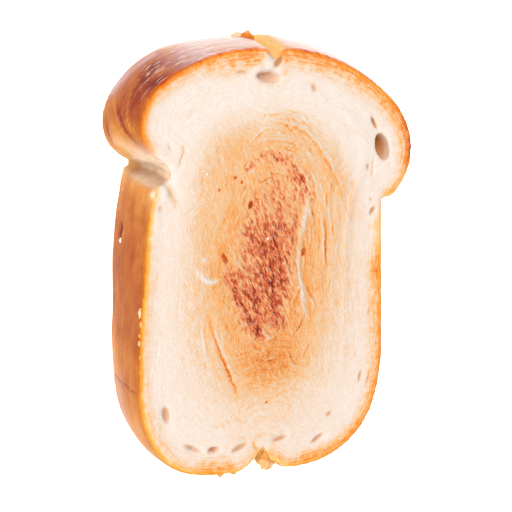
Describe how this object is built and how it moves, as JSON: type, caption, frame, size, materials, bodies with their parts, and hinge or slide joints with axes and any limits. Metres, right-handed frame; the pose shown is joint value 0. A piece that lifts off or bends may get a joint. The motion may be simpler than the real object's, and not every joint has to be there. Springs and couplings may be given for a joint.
{
  "type": "slice of burnt toast",
  "caption": "Thick slice of tall white tin loaf, toasted, with a scorched middle, a brown crust, a split crown that overhangs like a cap and a cleft foot.",
  "frame": {"origin": "under the middle of the slice, on the surface that it lies on", "axes": "+X across the slice, +Y towards the loaf's crown, +Z out of the scorched face"},
  "size_m": [0.1094, 0.1526, 0.0255],
  "materials": {
    "bread": "dry matt crumb, scorched in the middle, with a satin brown crust"
  },
  "bodies": {
    "root": {"toast": "bread"}
  },
  "joints": []
}
